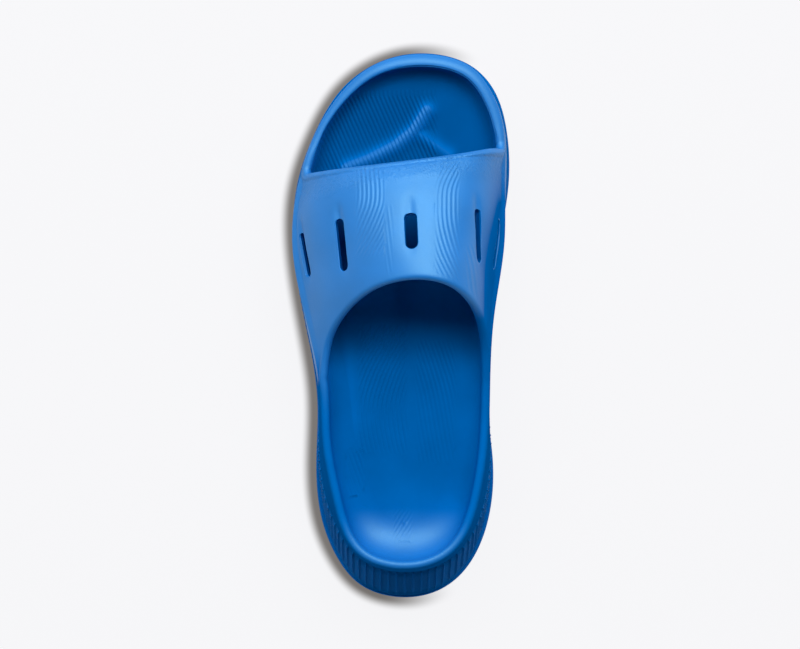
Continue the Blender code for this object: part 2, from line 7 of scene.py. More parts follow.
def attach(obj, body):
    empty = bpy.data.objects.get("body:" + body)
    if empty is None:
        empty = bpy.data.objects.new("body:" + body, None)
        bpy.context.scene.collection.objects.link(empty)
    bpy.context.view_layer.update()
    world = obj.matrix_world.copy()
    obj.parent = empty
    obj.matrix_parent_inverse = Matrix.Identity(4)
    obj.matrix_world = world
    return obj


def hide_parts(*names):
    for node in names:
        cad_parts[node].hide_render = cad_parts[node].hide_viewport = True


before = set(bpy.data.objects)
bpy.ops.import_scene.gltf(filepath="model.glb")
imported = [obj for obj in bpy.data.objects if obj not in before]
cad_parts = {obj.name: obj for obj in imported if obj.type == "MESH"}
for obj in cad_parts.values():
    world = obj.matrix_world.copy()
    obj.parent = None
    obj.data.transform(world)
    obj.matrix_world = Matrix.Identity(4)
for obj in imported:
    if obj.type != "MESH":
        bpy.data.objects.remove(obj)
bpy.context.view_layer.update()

# Driving sizes, as in the solids, in metres
LENGTH = 0.300
BALL_WIDTH = 0.1196
HEEL_STACK = 0.041
FOOTBED_THICKNESS = 0.0065
OUTSOLE_THICKNESS = 0.0075
TOE_SPRING = 0.017
HEEL_BEVEL = 0.009
ARCH_RELIEF = 0.003
RIM_RISE = 0.018
COVE_WIDTH = 0.014
WALL = 0.005
COLLAR_HEIGHT = 0.100
FRONT_HEIGHT = 0.076
GAP = 0.0003

# Sole's edge: the lip round it, the share of the lip that lies bare beside the outsole's upper face,
# the tread's inset, and the rounding of the midsole's edges
LIP_WIDTH = 0.0028
LIP_DROP = 0.0030
LIP_BARE = 0.5
TREAD_INSET = 0.0042
EDGE_ROUND = 0.0012

# Midsole's ribs. Their lean grows from a place on the path round the sole, over a distance. They end
# at shares of the length, first medial, then lateral, and lose depth on the flanks. The window is the
# part of the wall's height that they take, and they stop at an angle of the edge's round.
RIB_PITCH = 0.0046
RIB_DEPTH = 0.0010
RIB_SHARPNESS = 9.0
RIB_LEAN = 0.013
RIB_LEAN_SPAN = (0.020, 0.090)
RIBS_END = (0.36, 0.66)
RIBS_FADE = 0.05
FLANK_RIBS_START = 0.25
FLANK_RIB_LOSS = 0.75
RIB_WINDOW = (0.06, 1.06, 0.14)
RIB_EDGE_DEPTH = 0.9
RIB_EDGE_END = 1.0

# Tread: its cross grooves, the part of the width that they take, the columns of its points as shares
# of the width, their spacing round the edge, and how full the lower edge is
LUG_PITCH = 0.0130
GROOVE_WIDTH = 0.0036
GROOVE_DEPTH = 0.0022
GROOVE_SLOPE = 0.0008
GROOVE_WINDOW = (0.05, 0.95, 0.03)
TREAD_COLUMNS = np.array((0.02, 0.05, 0.065, 0.08, 0.2, 0.35, 0.5, 0.65, 0.8, 0.92, 0.935, 0.95, 0.98))
TREAD_SPACING = 0.0008
TREAD_FULLNESS = 0.8

# Footbed's hollow
BED_DISH = 0.0022
DISH_END = 0.034
ARCH_SUPPORT = 0.0040

# Strap's slots: width, rounding of their edges and its angles, how far the edge lies under the plain
# skin, and how far the cutters reach
SLOT_WIDTH = 0.0060
SLOT_ROUND = 0.0008
ROUND_ANGLES = (18, 36, 54, 68)
SLOT_SINK = 0.0006
CUTTER_REACH = 0.0075

# Soft troughs that run out of each slot toward the front (1) or the collar (-1). They start and end
# past a share of the slot's half length.
# direction, start, end, fade, depth
TROUGHS = (
    (1, -0.006, 0.017, 0.010, 0.0011),
    (-1, -0.006, 0.010, 0.008, 0.0005),
)
TROUGH_ROOT = 0.6
TROUGH_WIDTH = 0.0024
TROUGH_REACH = 0.02

# Shallow bowl round each slot, its length against the slot's
BOWL_LENGTH = 1.25
BOWL_WIDTH = 0.007
BOWL_DEPTH = 0.0005

# Shoulder that the strap leaves on the rim, and how far its front edge stands behind its roots
SHOULDER_WIDTH = 0.0020
SHOULDER_RISE = 0.0024
FRONT_SETBACK = 0.0055

# Rim at the toe: how much thinner it is on the lateral side, and how far its crown leans inward
RIM_THINNING = 0.0016
TOE_LEAN = 0.7
TIP_THICKENING = 0.0014

# Where the strap's collar and front stand on the rim, first lateral, then medial, and where the
# collar's top stands, as shares of the length from the heel
ROOTS = ((0.405, 0.787), (0.400, 0.833))
COLLAR_TOP = 0.592

# Counts of faces
HEEL_STEPS = 64
STRAP_STEPS = 84
TOE_STEPS = 64
ARCH_STEPS = 210
ROLL_STEPS = 10
BED_COLUMNS = 160
WALL_STEPS = 10
COVE_STEPS = 12
SLOT_END_STEPS = 14
RIB_STATIONS = 14
SOLE_STEPS = 10
EDGE_STEPS = 3
TREAD_ROUND_STEPS = 6
LIP_STEPS = 5
FLOOR_STEPS = 720
SHADE_STEPS = 18

# Turns round the arch, and the strap's stations on the rim with their shares from collar to front
ARCH_TURNS = np.linspace(0, 180, ARCH_STEPS + 1)
STATIONS = np.arange(HEEL_STEPS, HEEL_STEPS + STRAP_STEPS + 1)
STATION_SHARES = np.linspace(0, 1, STRAP_STEPS + 1)[:, None]

# Angles in degrees past which an edge is shaded as sharp
UPPER_SHARP = 40
MIDSOLE_SHARP = 60
OUTSOLE_SHARP = 50

# Loops seen from above, in turns of degrees from the heel tip (0) to the toe tip (180). The widths
# are shares of the ball width from the middle line.
# turn, outline lateral, outline medial, crest lateral, crest medial
LOOPS = (
    (0, 0.028, 0.028, 0.037, 0.037),
    (15, -0.153, 0.202, -0.124, 0.197),
    (30, -0.276, 0.331, -0.219, 0.303),
    (45, -0.358, 0.409, -0.272, 0.360),
    (60, -0.381, 0.428, -0.313, 0.392),
    (75, -0.377, 0.393, -0.328, 0.401),
    (90, -0.424, 0.390, -0.394, 0.420),
    (105, -0.474, 0.441, -0.449, 0.462),
    (120, -0.469, 0.497, -0.426, 0.466),
    (135, -0.383, 0.494, -0.346, 0.463),
    (150, -0.264, 0.436, -0.224, 0.404),
    (165, -0.092, 0.306, -0.079, 0.296),
    (180, 0.108, 0.108, 0.110, 0.110),
)
CREST_HEEL = -0.432
CREST_TOE = 0.485

# Sections along the foot, each at its share of the length from the heel.
# stack: footbed over the ground face, share of HEEL_STACK
# rim: crest over the footbed, share of RIM_RISE
# cove: hollow between rim and footbed, share of COVE_WIDTH
# foot: where the upper's lower edge lies, from the rim (0) to the outline (1)
# ledge: where the midsole's upper edge lies, from the upper's lower edge (0) to the outline (1)
# lip: bare lip outside the midsole, share of LIP_WIDTH
# arch: support of the medial edge, share of ARCH_SUPPORT
# along, stack, rim, cove, foot, ledge, lip, arch
SECTIONS = (
    (0.00, 0.78, 1.00, 1.55, 0.18, 0.04, 0.50, 0.00),
    (0.10, 0.95, 0.91, 1.40, 0.17, 0.05, 0.75, 0.00),
    (0.20, 1.00, 0.74, 1.10, 0.36, 0.10, 1.00, 0.10),
    (0.35, 0.98, 0.66, 0.80, 0.36, 0.18, 0.90, 0.80),
    (0.50, 0.90, 0.68, 0.60, 0.42, 0.30, 0.80, 1.00),
    (0.65, 0.79, 0.66, 0.50, 0.35, 0.45, 0.70, 0.30),
    (0.80, 0.71, 0.62, 0.50, 0.25, 0.65, 0.45, 0.00),
    (0.90, 0.62, 0.60, 0.58, 0.18, 0.75, 0.35, 0.00),
    (1.00, 0.51, 0.60, 0.62, 0.15, 0.80, 0.30, 0.00),
)
STACK, RIM, COVE, FOOT, LEDGE, LIP, ARCH = range(1, 8)

# Strap's profile round the arch, in degrees from the lateral root (0) to the medial root (180), at the
# front edge and at the collar: across is a share of the way between the roots, height one of the rise,
# and lead one of how far the collar's top stands in front of its roots.
# turn, front across, front height, collar across, collar height, collar lead
STRAP = (
    (0, 0.000, 0.000, 0.000, 0.000, 0.000),
    (15, 0.008, 0.080, 0.009, 0.035, 0.150),
    (30, 0.028, 0.170, 0.030, 0.115, 0.320),
    (45, 0.068, 0.340, 0.072, 0.240, 0.490),
    (60, 0.145, 0.570, 0.150, 0.430, 0.670),
    (75, 0.280, 0.820, 0.278, 0.680, 0.850),
    (90, 0.444, 0.970, 0.442, 0.900, 0.965),
    (105, 0.626, 1.000, 0.625, 1.000, 1.000),
    (120, 0.794, 0.890, 0.795, 0.910, 0.940),
    (135, 0.911, 0.630, 0.912, 0.670, 0.790),
    (150, 0.968, 0.330, 0.972, 0.380, 0.590),
    (165, 0.994, 0.120, 0.996, 0.130, 0.320),
    (180, 1.000, 0.000, 1.000, 0.000, 0.000),
)
FRONT_ACROSS, FRONT_RISE, COLLAR_ACROSS, COLLAR_RISE, COLLAR_LEAD = range(1, 6)

# Slots of the strap: from collar edge (0) to front edge (1), and round the arch in degrees from the
# lateral root. The width is a share of SLOT_WIDTH. Upright is how far the cut turns from square to
# the strap (0) to straight down (1).
# back row, front row, back angle, front angle, width, upright
SLOTS = (
    (0.38, 0.62, 29, 28, 0.85, 0.45),
    (0.21, 0.55, 66, 68.5, 0.95, 0.72),
    (0.20, 0.465, 101, 100.5, 1.05, 1.00),
    (0.25, 0.525, 141, 132.5, 0.80, 0.27),
    (0.38, 0.60, 167, 166, 0.70, 0.00),
)

# Strap's shape as shares: how the top falls from collar to front, where the shoulder is whole, and
# how the setback grows toward the front and up the edge. The strap's wall turns into the rim's over
# ROOT_BLEND degrees of the arch, and their rounded edges do over CORNER_REACH.
TOP_POWER = 1.15
SHOULDER_START = 0.45
SETBACK_POWER = 4
SETBACK_HEIGHT = 0.16
SHOULDER_END = 0.10
ROOT_BLEND = 45
CORNER_REACH = 1.6 * WALL

# Toe's rim: where it begins to change and how soon it has changed, as shares of the length, and the
# turns beside the toe tip over which its thinning ends and its thickening grows
RIM_CHANGE = (0.79, 0.08)
TIP_TURN = 45
TIP_SPAN = 60

# Ground face: where toe spring, heel bevel and arch begin and end, and how fast they rise
TOE_BREAK = 0.70
HEEL_BREAK = 0.17
ARCH_START = 0.33
ARCH_END = 0.57
SPRING_POWER = 1.9
BEVEL_POWER = 1.8

# Fine lines moulded into the strap, seen from above, in millimetres. Each group fills a window and
# its lines bend with a path.
# x low, x high, y low, y high, strength, path as (y, x) points
STRAP_LINES = (
    (-23, -5, 36, 87, 1.0, ((36, -13), (43, -9), (50, -5), (58, -1.5), (65, 1), (72, 1.5), (86, 0))),
    (20, 35, 18, 94, 0.9, ((18, 15), (27, 10.6), (37, 5.7), (47, 2.3), (57, 0.3), (66, 0), (75, 0.8),
                           (80, 2.8), (86, 6.2), (91, 10.6))),
    (36, 45, 12, 45, 0.9, ((12, 6.5), (17, 5.4), (33, 3), (44, 0))),
    (-7, 0, 26, 66, 0.45, ((26, 6), (38, 4), (52, 2), (66, 0))),
)
# The same for the footbed
BED_LINES = (
    (-47, 22, 84, 130, 2.4, ((84, 17.4), (126, -0.9))),
    (-24, 6, -70, 2, 1.5, ((-70, 3), (-54, 0), (-43, -0.5), (-33, 2), (-25, 5), (-12, 12), (2, 20))),
    (8, 32, -76, -6, 0.7, ((-76, 12), (-54, 8), (-33, 4), (-20, 0), (-6, -5))),
    (-5, 9, -119, -98, 0.6, ((-119, -7), (-98, 6))),
    (-30, -18, -94, -66, 1.2, ((-94, 6), (-66, -4))),
)
# Lines' pitch and depth, the footbed's share of their strength, the fade in a window in millimetres,
# the fades at collar and front as shares of the strap, and how level the strap is at least under them
LINE_PITCH = 0.0024
LINE_DEPTH = 0.00024
BED_LINE_SHARE = 0.8
LINE_FADE = 4.0
COLLAR_LINE_FADE = 0.03
FRONT_LINE_FADE = 0.02
LINE_LEVEL = 0.1

# Ridges raised on the footbed, in millimetres
# width, height, path as (x, y) points
RIDGES = (
    (4.8, 3.2, ((15, 118), (7.5, 107), (-2.5, 99), (-17, 91.5), (-29, 87))),
    (4.0, 2.2, ((8, 107), (17, 101), (27, 94))),
)

# Groove inside the crown of the toe's rim: depth, turns with the turn over which it fades, and its
# place and width from the outer edge (0) to the inner edge (1)
TOE_GROOVE = 0.0007
TOE_GROOVE_SPAN = (166, 236, 16)
TOE_GROOVE_PLACE = 0.72
TOE_GROOVE_WIDTH = 0.08

# Groove behind the bead of the strap's front edge and the coarser grain there, as shares of the way
# from collar to front
BEAD_GROOVE = 0.00045
BEAD_PLACE = 0.955
BEAD_WIDTH = 0.018
GRAIN = (0.70, 0.12)

# Painted shade and dullness go from 0 on top of the strap to 1. Where they are whole, the foam's colour
# is painted darker, to PAINTED_SHADE_TONE of its brightness, as painted shade, and its sheen fades.
PAINTED_SHADE_TONE = 0.50

# Painted shade and dullness of the footbed, whole from under the strap to the toe with the strap's
# painted shadow: its share behind the strap's middle, where it grows to whole, and where it fades in
# the heel cup, whose back is left bright as painted light
HEEL_BED_WEIGHT = 0.72
FULL_BED = (-0.023, 0.015)
HEEL_CUP = (-0.125, 0.048)

# A ridge of full height loses a share of that painted shade, as a painted highlight, and so does a
# streak along the lateral side, a painted highlight as well, with its middle, lean, width and the part
# of the length that it takes
RIDGE_LIGHT = 0.75
RIDGE_FULL = 0.0028
STREAK_LIGHT = 0.20
STREAK_PLACE = -0.0286
STREAK_LEAN = -0.065
STREAK_WIDTH = 0.0028
STREAK_SPAN = (-0.072, 0.004, 0.026)

# Painted shade and dullness of the wall behind the strap, inside and outside, where it ends toward the
# toe, and what is left of it inside the back of the heel, which is painted lighter
WALL_SHADE_AND_DULLNESS = 0.42
OUTER_SHADE_AND_DULLNESS = 0.85
SHADED_WALL = (0.0, -0.060)
HEEL_BACK = (-0.128, 0.030)
HEEL_BACK_SHARE = 0.35

# Painted shade and dullness of the strap's flanks and the turns from their roots at which it ends,
# first medial, then lateral; the turn over which it grows, where it ends toward the toe, and where the
# lining's begins
FLANK_SHADE_AND_DULLNESS = (0.55, 0.08)
FLANK_TURNS = (54, 60)
FLANK_GROWTH = 34
FLANK = (0.108, -0.060)
LINING = (-0.078, 0.035)

# Painted shade and dullness of the toe's rim, of the coves and of the slots' walls, how fast the
# footbed's takes over down a cove, and how fast the inner wall's does across a rounded edge
TOE_SHADE_AND_DULLNESS = 0.12
COVE_SHADE_AND_DULLNESS = 0.11
SLOT_SHADE_AND_DULLNESS = 0.32
COVE_GROWTH = 1.8
ROLL_GROWTH = 2.2

# Floor: its reach, its drop under the sole, and the dark soft edge beside the sole, whole up to the
# core, gone at the end and fading where the outline no longer faces the lateral side
FLOOR_REACH = 4.0
FLOOR_DROP = 0.0001
SHADE_START = -0.004
SHADE_CORE = 0.0026
SHADE_END = 0.0092
SHADE_SIDE = (0.62, -0.9)

# Foam's look: depths of the fine and the leathery grain, the painted shade and dullness at which the
# sheen is gone, the sheen's tint and the index of refraction
GRAIN_DEPTH = 0.0004
LEATHER_DEPTH = 0.0006
SHEEN_END = 0.42
SHEEN_TINT = (0.52, 1.0, 1.0, 1.0)
FOAM_IOR = 1.6

# Softboxes, in metres and watts
# name, place, size, power
LIGHTS = (
    ("key", (0.12, 0.85, 1.30), (2.2, 0.9), 35),
    ("side", (-1.10, 0.10, 0.80), (1.0, 0.9), 2),
)
LIGHT_AIM = (0, 0, 0.04)
ROOM_LIGHT = 0.10


def open_spline(places, values):
    """Return a smooth curve through values at rising places, straight at both ends."""
    places = np.array(places, float)
    values = np.array(values, float)
    count = len(places)
    matrix = np.eye(count)
    second = np.zeros(count)
    for i in range(1, count - 1):
        before = places[i] - places[i - 1]
        after = places[i + 1] - places[i]
        matrix[i, i - 1:i + 2] = (before, 2 * (before + after), after)
        second[i] = 6 * ((values[i + 1] - values[i]) / after - (values[i] - values[i - 1]) / before)
    bends = np.linalg.solve(matrix, second)

    def at(place):
        place = np.clip(place, places[0], places[-1])
        low = np.clip(np.searchsorted(places, place) - 1, 0, count - 2)
        width = places[low + 1] - places[low]
        right = (place - places[low]) / width
        left = 1 - right
        bow = (left ** 3 - left) * bends[low] + (right ** 3 - right) * bends[low + 1]
        return left * values[low] + right * values[low + 1] + bow * width ** 2 / 6

    return at


def loop_curve(lateral, medial):
    """Return the smooth closed curve of a pair of columns in LOOPS, over 360 degrees."""
    widths = [row[lateral] for row in LOOPS] + [row[medial] for row in LOOPS[-2:0:-1]]
    count = len(widths)
    curve = open_spline(np.arange(-count, 2 * count) * 360 / count, widths * 3)
    return lambda turn: curve(np.asarray(turn, float) % 360)


def column_curves(table):
    """Return a smooth curve for each column of a table, over its first column."""
    columns = list(zip(*table))
    return [open_spline(columns[0], column) for column in columns]


OUTLINE_WIDTH = loop_curve(1, 2)
CREST_WIDTH = loop_curve(3, 4)
OUTLINE_REACH = OUTLINE_WIDTH(np.linspace(0, 360, 721))
MIDDLE = (OUTLINE_REACH.min() + OUTLINE_REACH.max()) / 2
WIDTH_UNIT = BALL_WIDTH / (OUTLINE_REACH.max() - OUTLINE_REACH.min())
COLUMNS = column_curves(SECTIONS)
PROFILES = column_curves(STRAP)


def smooth(value):
    """Ease a share from 0 to 1 with level ends."""
    value = np.clip(value, 0, 1)
    return value * value * (3 - 2 * value)


def grown(value, start, fade):
    """Share that grows from 0 at the start to 1 over the fade; a negative fade goes the other way."""
    return smooth((value - start) / fade)


def window(value, low, high, fade):
    """Weight that grows from 0 at two limits to 1 between them."""
    return grown(value, low, fade) * grown(value, high, -fade)


def unit(vectors):
    """Scale each vector to length one."""
    return vectors / np.linalg.norm(vectors, axis=-1, keepdims=True)


def plan_loop(width, heel, toe, turns):
    """Plan points of a loop between its heel and its toe, as shares of the length."""
    x = (width(turns) - MIDDLE) * WIDTH_UNIT
    y = ((toe + heel) / 2 - (toe - heel) / 2 * np.cos(np.radians(turns))) * LENGTH
    return np.stack([x, y], axis=-1)


def outline_loop(turns):
    """Plan points of the shoe's outline."""
    return plan_loop(OUTLINE_WIDTH, -0.5, 0.5, turns)


def crest_loop(turns):
    """Plan points of the middle of the rim."""
    return plan_loop(CREST_WIDTH, CREST_HEEL, CREST_TOE, turns)


def outward(loop, turns):
    """Plan directions that point out of a loop."""
    step = 0.5
    along = loop(turns + step) - loop(turns - step)
    return unit(np.stack([-along[:, 1], along[:, 0]], axis=-1))


def share_along(y):
    """Share of the length from the heel."""
    return np.clip(y / LENGTH + 0.5, 0, 1)


def section(column, y):
    """A column of SECTIONS at a place along the foot."""
    return COLUMNS[column](share_along(y))


def base_height(y):
    """Ground face of the sole: flat under heel and ball, raised at toe, heel tip and arch."""
    along = share_along(y)
    toe = np.clip((along - TOE_BREAK) / (1 - TOE_BREAK), 0, 1) ** SPRING_POWER
    heel = np.clip((HEEL_BREAK - along) / HEEL_BREAK, 0, 1) ** BEVEL_POWER
    arch = np.clip((along - ARCH_START) / (ARCH_END - ARCH_START), 0, 1)
    relief = np.sin(np.pi * arch) ** 2
    return TOE_SPRING * toe + HEEL_BEVEL * heel + ARCH_RELIEF * relief


def footbed_height(y):
    """Edge of the footbed, before its dish."""
    return base_height(y) + section(STACK, y) * HEEL_STACK


def seam_height(y):
    """Face between midsole and upper."""
    return footbed_height(y) - FOOTBED_THICKNESS


def joint_height(y):
    """Face between outsole and midsole."""
    return base_height(y) + OUTSOLE_THICKNESS


def crest_height(y):
    """Top of the rim."""
    return footbed_height(y) + section(RIM, y) * RIM_RISE


def raised(plan, height):
    """Put plan points at their heights."""
    return np.column_stack([plan, np.broadcast_to(height, len(plan))])


def crest_turn(along):
    """Turn of the rim's middle at a share of the length."""
    share = (along - 0.5 - CREST_HEEL) / (CREST_TOE - CREST_HEEL)
    return np.degrees(np.arccos(1 - 2 * share))


class Skin:
    """Points, their values and faces that grow into one closed mesh."""

    def __init__(self, *values):
        self.points = []
        self.faces = []
        self.values = {name: [] for name in values}

    def add(self, points, **values):
        """Add an array of points and return their numbers in the same layout."""
        points = np.asarray(points)
        flat = points.reshape(-1, 3)
        start = sum(len(block) for block in self.points)
        self.points.append(flat)
        for name, blocks in self.values.items():
            blocks.append(np.broadcast_to(values.get(name, 0.0), points.shape[:-1]).ravel())
        return np.arange(start, start + len(flat)).reshape(points.shape[:-1])

    def face(self, *corners):
        """Add a face, without corners that repeat."""
        kept = [int(c) for i, c in enumerate(corners) if c != corners[i - 1]]
        if len(kept) > 2:
            self.faces.append(kept)

    def grid(self, numbers):
        """Fill a table of point numbers with four-sided faces."""
        for row, after in zip(numbers[:-1], numbers[1:]):
            for i in range(len(row) - 1):
                self.face(row[i], row[i + 1], after[i + 1], after[i])

    def tube(self, rings):
        """Fill the bands between closed rows of points that follow each other."""
        for low, high in zip(rings[:-1], rings[1:]):
            self.grid(np.stack([np.append(low, low[0]), np.append(high, high[0])]))

    def ladder(self, ring, inner=None):
        """Close a ring with rungs from each side to the other, over rows of inner points."""
        half = len(ring) // 2
        middle = []
        for i in range(1, half):
            inside = [] if inner is None else list(inner[i - 1])
            middle.append([ring[i]] + inside + [ring[-i]])
        self.grid(np.array(middle))
        for tip, row in ((ring[0], middle[0]), (ring[half], middle[-1])):
            for a, b in zip(row[:-1], row[1:]):
                self.face(tip, a, b)

    def build(self, name):
        """Make the object, without points that no face uses."""
        mesh = bpy.data.meshes.new(name)
        mesh.from_pydata(np.concatenate(self.points).tolist(), [], self.faces)
        for value, blocks in self.values.items():
            field = mesh.attributes.new(value, 'FLOAT', 'POINT')
            field.data.foreach_set("value", np.concatenate(blocks).astype(np.float32))
        work = bmesh.new()
        work.from_mesh(mesh)
        bmesh.ops.recalc_face_normals(work, faces=work.faces)
        loose = [vert for vert in work.verts if not vert.link_faces]
        bmesh.ops.delete(work, geom=loose, context='VERTS')
        work.to_mesh(mesh)
        work.free()
        item = bpy.data.objects.new(name, mesh)
        bpy.context.scene.collection.objects.link(item)
        return item


def inner_shares(steps):
    """Even shares between 0 and 1, without both."""
    return np.linspace(0, 1, steps + 1)[1:-1]


def quarter(steps):
    """Even angles from 0 to a quarter turn."""
    return np.linspace(0, np.pi / 2, steps + 1)


def whole_loop(lateral, medial):
    """Turns once round from the heel tip, from those of each side up to the toe tip."""
    return np.concatenate([lateral, 360 - medial[-2:0:-1]])


def line_field(x, y, groups):
    """Phase and strength of the fine moulded lines at plan points."""
    x = x * 1000
    y = y * 1000
    phase = np.zeros_like(x)
    weight = np.zeros_like(x)
    for left, right, low, high, strength, path in groups:
        bend = open_spline(*zip(*path))(y)
        mine = strength * window(x, left, right, LINE_FADE) * window(y, low, high, LINE_FADE)
        place = (x - bend) / (LINE_PITCH * 1000)
        phase = np.where(mine > weight, place, phase)
        weight = np.maximum(weight, mine)
    return phase, weight


def ridge_field(x, y):
    """Height of the ridges raised on the footbed."""
    points = np.stack([x, y], axis=-1) * 1000
    total = np.zeros_like(x)
    for width, height, path in RIDGES:
        for start, end in zip(path[:-1], path[1:]):
            along = np.subtract(end, start)
            away = points - start
            share = np.clip(away @ along / (along @ along), 0, 1)[..., None]
            distance = np.linalg.norm(away - share * along, axis=-1)
            total = np.maximum(total, height / 1000 * np.exp(-(distance / width) ** 2))
    return total


def upper_turns():
    """Turns of the upper's stations, once round from the heel tip, with equal counts per side."""
    sides = []
    for roots in ROOTS:
        first, last = map(crest_turn, roots)
        heel = np.linspace(0, first, HEEL_STEPS + 1)
        strap = np.linspace(first, last, STRAP_STEPS + 1)
        toe = np.linspace(last, 180, TOE_STEPS + 1)
        sides.append(np.concatenate([heel, strap[1:], toe[1:]]))
    return whole_loop(*sides)


def toe_share(y):
    """Share of the toe's own rim, from none at the strap to whole round the toe."""
    return grown(share_along(y), *RIM_CHANGE)


def rim_edges(turns):
    """Outer and inner edge of the rim at its springing, below the roll."""
    plan = crest_loop(turns)
    out = outward(crest_loop, turns)
    height = crest_height(plan[:, 1]) - WALL / 2
    thinning = RIM_THINNING * toe_share(plan[:, 1]) * smooth((180 - turns) / TIP_TURN)
    thickening = TIP_THICKENING * smooth(1 - np.abs(turns - 180) / TIP_SPAN)
    inset = (WALL / 2 - thinning + thickening)[:, None]
    return raised(plan + out * WALL / 2, height), raised(plan - out * inset, height)


def upper_foot(turns, outer):
    """Lower edge of the upper, on the midsole."""
    share = section(FOOT, outer[:, 1])[:, None]
    plan = outer[:, :2] + (outline_loop(turns) - outer[:, :2]) * share
    return raised(plan, seam_height(plan[:, 1]))


def strap_skin(outer):
    """Outer face of the strap: a row for each station from collar to front, across the arch."""
    profile = [curve(ARCH_TURNS) for curve in PROFILES]
    share = STATION_SHARES
    left = outer[STATIONS, None]
    right = outer[-STATIONS, None]
    across = profile[COLLAR_ACROSS] * (1 - share) + profile[FRONT_ACROSS] * share
    height = profile[COLLAR_RISE] * (1 - share) + profile[FRONT_RISE] * share
    top = COLLAR_HEIGHT + (FRONT_HEIGHT - COLLAR_HEIGHT) * share ** TOP_POWER
    lift = (top - (left[..., 2] + right[..., 2]) / 2) * height
    shoulder = SHOULDER_WIDTH * smooth(share / SHOULDER_START) * smooth(lift / SHOULDER_RISE)
    shoulder = shoulder * smooth((1 - share) / SHOULDER_END)
    rounded = 1 - (1 - np.clip(height / SETBACK_HEIGHT, 0, 1)) ** 3
    setback = FRONT_SETBACK * share ** SETBACK_POWER * rounded
    lead = (COLLAR_TOP - 0.5) * LENGTH - (left[0, 0, 1] + right[0, 0, 1]) / 2
    rows = left + (right - left) * across[..., None]
    rows[..., 0] += shoulder * (1 - 2 * across)
    rows[..., 1] += lead * (1 - share) * profile[COLLAR_LEAD] - setback
    rows[..., 2] += lift
    return rows


def strap_normals(rows, outer, inner):
    """Directions out of the strap; toward its roots they turn into those of the rim."""
    along = np.gradient(rows, axis=0)
    across = np.gradient(rows, axis=1)
    normals = unit(np.cross(across, along))
    at_left = smooth(1 - ARCH_TURNS / ROOT_BLEND)[:, None]
    at_right = smooth(1 - (180 - ARCH_TURNS) / ROOT_BLEND)[:, None]
    walls = unit(outer - inner)[:, None]
    mixed = normals * (1 - at_left - at_right)
    return unit(mixed + at_left * walls[STATIONS] + at_right * walls[-STATIONS])


def edge_bulge(rows, normals, step):
    """Directions off the collar edge (0) or the front edge (-1) of the strap, square to the edge."""
    along = np.gradient(rows[step], axis=0)
    bulge = unit(np.cross(normals[step], along))
    return -bulge if step == 0 else bulge


def roll(outer, inner, bulge):
    """Points of the rounded edge between an outer and an inner row, without the rows."""
    angles = np.linspace(0, np.pi, ROLL_STEPS + 1)[1:-1]
    middle = (outer + inner) / 2
    half = (outer - inner) / 2
    reach = np.linalg.norm(half, axis=1, keepdims=True)
    return np.array([middle + half * np.cos(a) + bulge * reach * np.sin(a) for a in angles])


def near(points, corner):
    """Weight that fades with the distance from a corner."""
    distance = np.linalg.norm(points - corner, axis=1)
    return np.exp(-(distance / CORNER_REACH) ** 2)[:, None]


def slot_frame(rows, normals, slot):
    """Middle, axis, side, normal, half length, width and sideways lean of a slot on the strap."""
    def at(grid, row, angle):
        place = np.array((row * STRAP_STEPS, angle / 180 * ARCH_STEPS))
        r, c = place.astype(int)
        u, v = place % 1
        low, high = grid[r:r + 2, c] * (1 - v) + grid[r:r + 2, c + 1] * v
        return low * (1 - u) + high * u

    back = Vector(at(rows, slot[0], slot[2]))
    front = Vector(at(rows, slot[1], slot[3]))
    normal = Vector(at(normals, (slot[0] + slot[1]) / 2, (slot[2] + slot[3]) / 2)).normalized()
    axis = (front - back).normalized()
    side = normal.cross(axis).normalized()
    normal = axis.cross(side)
    lean = slot[5] * side.z / normal.z
    half = (front - back).length / 2
    return (back + front) / 2, axis, side, normal, half, SLOT_WIDTH * slot[4], lean


def slot_cutter(frame_of_slot, number):
    """Stadium prism that stands on the strap and widens at the skin, so the edge comes out round."""
    middle, axis, side, normal, half, width, lean = frame_of_slot
    straight = half - width / 2
    outline = []
    for end, start in ((1, -90), (-1, 90)):
        for k in range(SLOT_END_STEPS + 1):
            angle = np.radians(start + 180 * k / SLOT_END_STEPS)
            outline.append((end * straight, np.cos(angle), np.sin(angle)))
    levels = [(-CUTTER_REACH, 0.0), (-SLOT_SINK - SLOT_ROUND, 0.0)]
    for angle in np.radians(ROUND_ANGLES):
        levels.append((-SLOT_SINK - SLOT_ROUND * (1 - np.sin(angle)), SLOT_ROUND * (1 - np.cos(angle))))
    levels.append((-SLOT_SINK + CUTTER_REACH, levels[-1][1]))
    skin = Skin("basin")
    rings = []
    for height, wider in levels:
        reach = width / 2 + wider
        shift = lean * min(height + SLOT_SINK, 0)
        points = [(x + c * reach, s * reach + shift, height) for x, c, s in outline]
        # Painted shade: the slots' walls take it from the cutter
        rings.append(skin.add(np.array(points), basin=SLOT_SHADE_AND_DULLNESS))
    skin.tube(rings)
    skin.face(*rings[0])
    skin.face(*rings[-1])
    cutter = skin.build("slot_cutter_%d" % number)
    turn = Matrix((axis, side, normal)).transposed().to_4x4()
    cutter.matrix_world = Matrix.Translation(middle) @ turn
    return cutter


def slot_troughs(rows, frames):
    """Depth of the soft troughs and bowls at the slots, over the strap's skin."""
    depth = np.zeros(rows.shape[:2])
    for middle, axis, side, normal, half, _, _ in frames:
        away = rows - np.array(middle)
        u = away @ np.array(axis)
        v = away @ np.array(side)
        w = np.abs(away @ np.array(normal))
        runs = sum(window(way * u - half * TROUGH_ROOT, start, end, fade) * deep
                   for way, start, end, fade, deep in TROUGHS)
        bowl = np.exp(-((u / (half * BOWL_LENGTH)) ** 4)) * BOWL_DEPTH * np.exp(-(v / BOWL_WIDTH) ** 2)
        shape = runs * np.exp(-(v / TROUGH_WIDTH) ** 2) + bowl
        depth = np.maximum(depth, shape * (w < TROUGH_REACH))
    return depth


